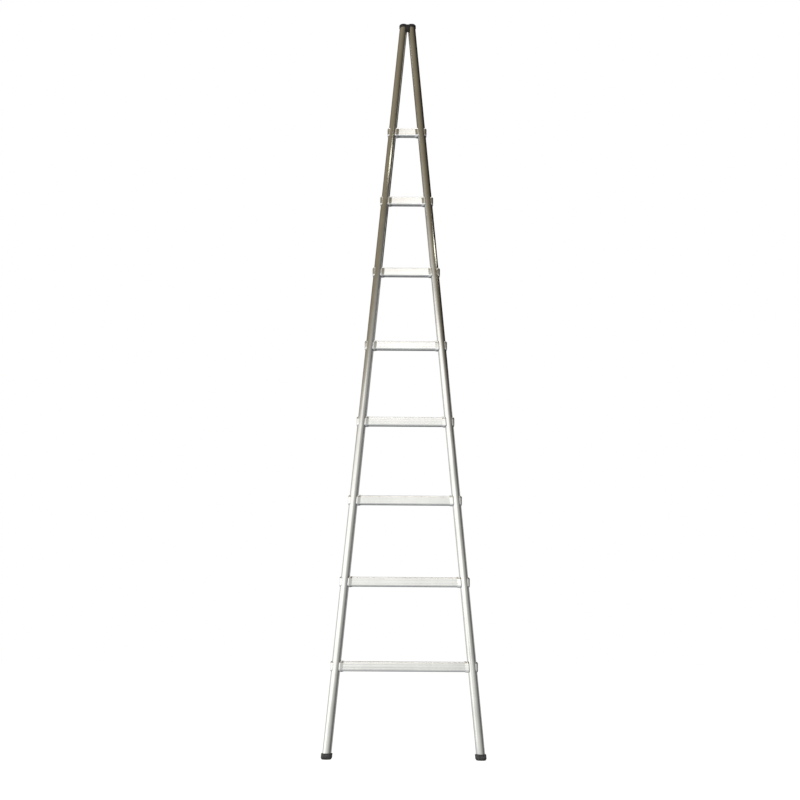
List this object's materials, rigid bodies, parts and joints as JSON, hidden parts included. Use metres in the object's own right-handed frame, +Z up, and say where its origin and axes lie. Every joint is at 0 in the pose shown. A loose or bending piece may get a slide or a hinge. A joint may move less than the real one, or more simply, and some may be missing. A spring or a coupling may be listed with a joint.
{
  "type": "pointed orchard ladder",
  "caption": "Pointed two-stile aluminium orchard ladder: round tubes that meet at the tip, swaged hollow rungs, a moulded tip and rubber-soled feet.",
  "frame": {"origin": "on the ground, midway between the two feet", "axes": "+Z up the ladder's length, +X across it to the right seen from the front, -Y towards the climber's side"},
  "size_m": [0.585, 0.04, 2.909],
  "materials": {
    "stile_aluminium": "mill-finish extruded tube, fine lengthwise draw lines, satin",
    "rung_aluminium": "extruded, grooved along its length, satin",
    "rivet_aluminium": "turned, satin",
    "black_plastic": "moulded, fine grain",
    "grey_plastic": "moulded, scuffed",
    "sole_rubber": "matte, slotted sole"
  },
  "bodies": {
    "root": {"stile_left": "stile_aluminium", "stile_right": "stile_aluminium", "rung_1": "rung_aluminium", "rung_2": "rung_aluminium", "rung_3": "rung_aluminium", "rung_4": "rung_aluminium", "rung_5": "rung_aluminium", "rung_6": "rung_aluminium", "rung_7": "rung_aluminium", "rung_8": "rung_aluminium", "tip_fitting": "black_plastic", "tip_rivet_left": "rivet_aluminium", "tip_rivet_right": "rivet_aluminium", "foot_socket_left": "grey_plastic", "foot_socket_right": "grey_plastic", "foot_sole_left": "sole_rubber", "foot_sole_right": "sole_rubber", "foot_rivet_left": "rivet_aluminium", "foot_rivet_right": "rivet_aluminium"}
  },
  "joints": []
}
